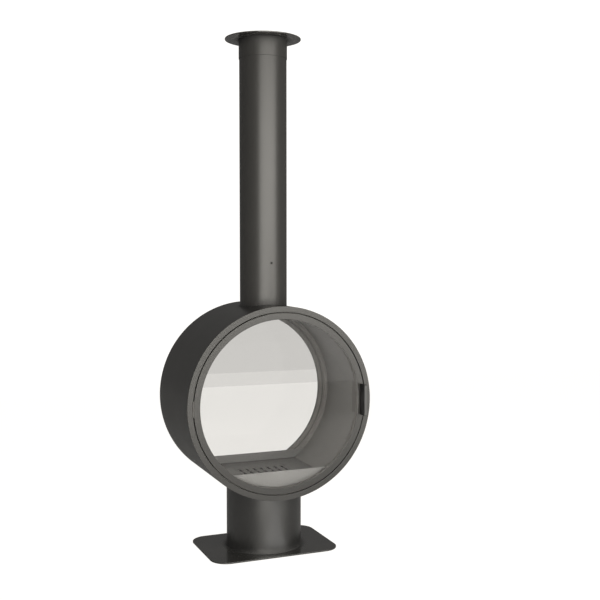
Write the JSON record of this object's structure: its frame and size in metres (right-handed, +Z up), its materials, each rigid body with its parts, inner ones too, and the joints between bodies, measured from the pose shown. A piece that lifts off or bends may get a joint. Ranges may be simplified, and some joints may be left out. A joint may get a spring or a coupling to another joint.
{
  "type": "wood stove",
  "caption": "Free-standing see-through wood stove: round drum on a tubular pedestal, glazed hinged doors front and rear, straight flue pipe to a ceiling rosette.",
  "frame": {"origin": "centre of the floor plate's underside", "axes": "+Z up along the flue, the front door faces -Y, the front door's handle is on the +X side"},
  "size_m": [0.8, 0.532, 2.16],
  "materials": {
    "dark_paint": "satin heat-proof paint, warm dark grey",
    "ring_paint": "satin heat-proof paint, warm dark grey",
    "inner_paint": "matt heat-proof paint",
    "hearth_steel": "matt heat-proof paint",
    "fender_steel": "satin heat-proof paint",
    "raw_steel": "primed steel",
    "bright_steel": "bare steel",
    "zinc_sheet": "galvanised sheet",
    "rope": "braided glass fibre",
    "wool": "mineral wool",
    "clear_glass": "clear heat-resistant glass ceramic",
    "handle_black": "satin black"
  },
  "bodies": {
    "root": {"floor_plate": "dark_paint", "pedestal_foot": "raw_steel", "foot_screws": "bright_steel", "pedestal_tube": "dark_paint", "saddle_plate": "raw_steel", "saddle_bolts": "bright_steel", "inlet_duct": "raw_steel", "valve_plate": "raw_steel", "valve_pin": "bright_steel", "upper_duct": "raw_steel", "drum_shell": "dark_paint", "insulation": "wool", "firebox_liner": "inner_paint", "hearth_plate": "hearth_steel", "grate_ledge": "hearth_steel", "ash_rails": "hearth_steel", "baffle_plate": "inner_paint", "baffle_studs": "bright_steel", "flue_spigot": "raw_steel", "flue_pipe": "dark_paint", "flue_plug": "bright_steel", "rosette_collar": "dark_paint", "rosette_disc": "dark_paint", "front_rim": "ring_paint", "front_seat": "inner_paint", "front_fender": "fender_steel", "front_hinge_bracket": "raw_steel", "front_hinge_pin": "bright_steel", "front_keeper": "bright_steel", "rear_rim": "ring_paint", "rear_seat": "inner_paint", "rear_fender": "fender_steel", "rear_hinge_bracket": "raw_steel", "rear_hinge_pin": "bright_steel", "rear_keeper": "bright_steel"},
    "front_door": {"front_door_frame": "ring_paint", "front_door_glass": "clear_glass", "front_glass_tape": "rope", "front_glass_retainer": "bright_steel", "front_retainer_screws": "bright_steel", "front_door_rope": "rope", "front_hinge_leaf": "raw_steel"},
    "front_latch": {"front_handle": "handle_black", "front_latch_shaft": "bright_steel", "front_latch_cam": "bright_steel"},
    "rear_door": {"rear_door_frame": "ring_paint", "rear_door_glass": "clear_glass", "rear_glass_tape": "rope", "rear_glass_retainer": "bright_steel", "rear_retainer_screws": "bright_steel", "rear_door_rope": "rope", "rear_hinge_leaf": "raw_steel"},
    "rear_latch": {"rear_handle": "handle_black", "rear_latch_shaft": "bright_steel", "rear_latch_cam": "bright_steel"},
    "air_valve": {"air_disc": "bright_steel", "air_lever": "bright_steel", "air_knob": "handle_black"},
    "grate": {"grate": "hearth_steel"},
    "ash_pan": {"ash_pan": "zinc_sheet"}
  },
  "joints": [
    {"name": "front_door_hinge", "type": "hinge", "parent": "root", "child": "front_door", "pos_m": [-0.375, -0.217, 0.645], "axis": [0, 0, -1], "range_deg": [0, 95]},
    {"name": "rear_door_hinge", "type": "hinge", "parent": "root", "child": "rear_door", "pos_m": [0.375, 0.217, 0.645], "axis": [0, 0, -1], "range_deg": [0, 95]},
    {"name": "front_latch_turn", "type": "hinge", "parent": "front_door", "child": "front_latch", "pos_m": [0.359, -0.22, 0.645], "axis": [0, -1, 0], "range_deg": [0, 90]},
    {"name": "rear_latch_turn", "type": "hinge", "parent": "rear_door", "child": "rear_latch", "pos_m": [-0.359, 0.22, 0.645], "axis": [0, 1, 0], "range_deg": [0, 90]},
    {"name": "air_valve_turn", "type": "hinge", "parent": "root", "child": "air_valve", "pos_m": [0, 0, 0.1213], "axis": [0, 0, 1], "range_deg": [0, 45]},
    {"name": "grate_lift", "type": "slide", "parent": "root", "child": "grate", "axis": [0, 0, 1], "range_m": [0, 0.25]},
    {"name": "ash_pan_lift", "type": "slide", "parent": "root", "child": "ash_pan", "axis": [0, 0, 1], "range_m": [0, 0.125]}
  ],
  "couplings": [
    {"joint": "ash_pan_lift", "follows": "grate_lift", "ratio": 0.5}
  ]
}
